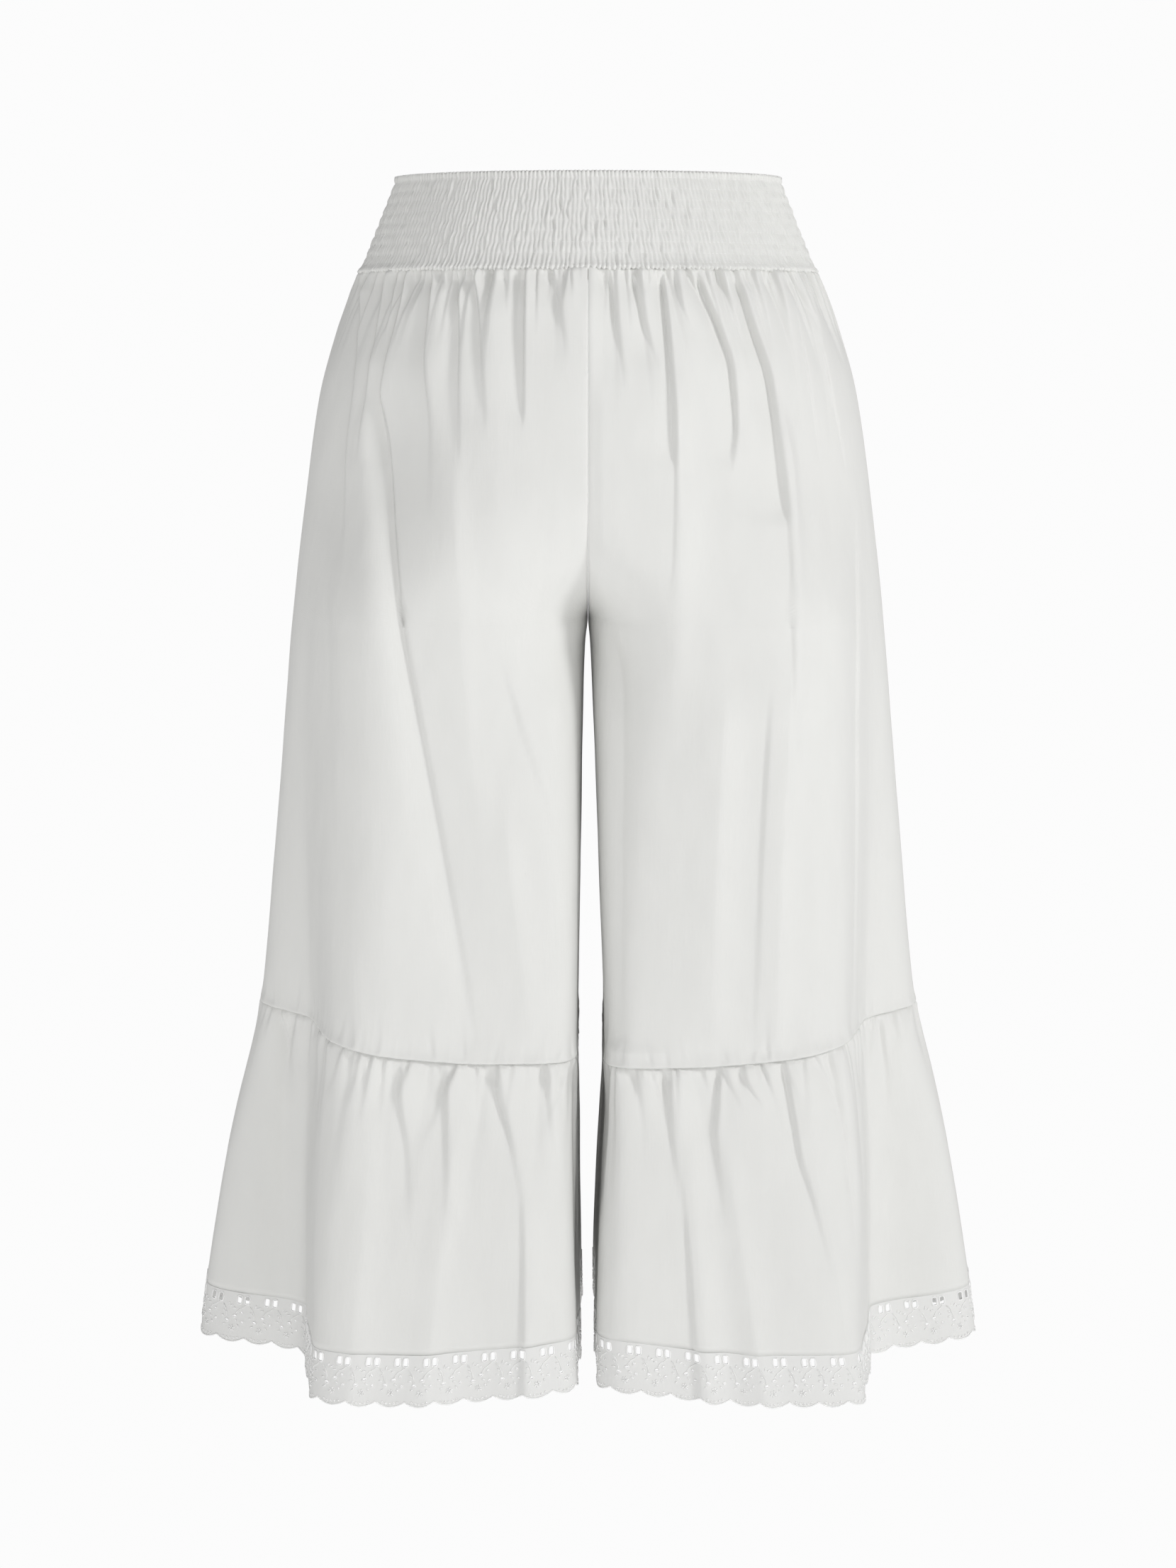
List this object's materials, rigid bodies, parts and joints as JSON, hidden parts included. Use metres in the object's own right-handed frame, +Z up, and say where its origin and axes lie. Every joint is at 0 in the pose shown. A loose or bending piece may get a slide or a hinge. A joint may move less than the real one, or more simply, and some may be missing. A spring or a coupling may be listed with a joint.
{
  "type": "wide-leg trousers",
  "caption": "Cropped wide-leg cotton trousers, filled out and hollow: shirred elastic waistband, gathered leg panels, and gathered flounces edged with scalloped eyelet trim.",
  "frame": {"origin": "the middle of the waistband's ring, half way up the part of it that grips the waist", "axes": "+Z up towards the waistband's top edge, -Y out of the front, +X towards the wearer's left leg"},
  "size_m": [0.6322, 0.3635, 0.93],
  "materials": {
    "shirred_cotton": "matt white cotton gathered by rows of elastic thread",
    "plain_cotton": "matt white plain-weave cotton",
    "eyelet_trim": "matt white cotton with satin-stitched eyelets and a scalloped edge"
  },
  "bodies": {
    "root": {"waistband": "shirred_cotton", "front_panel_right": "plain_cotton", "back_panel_right": "plain_cotton", "front_panel_left": "plain_cotton", "back_panel_left": "plain_cotton", "flounce_right": "plain_cotton", "flounce_left": "plain_cotton", "front_trim_right": "eyelet_trim", "back_trim_right": "eyelet_trim", "front_trim_left": "eyelet_trim", "back_trim_left": "eyelet_trim"}
  },
  "joints": []
}
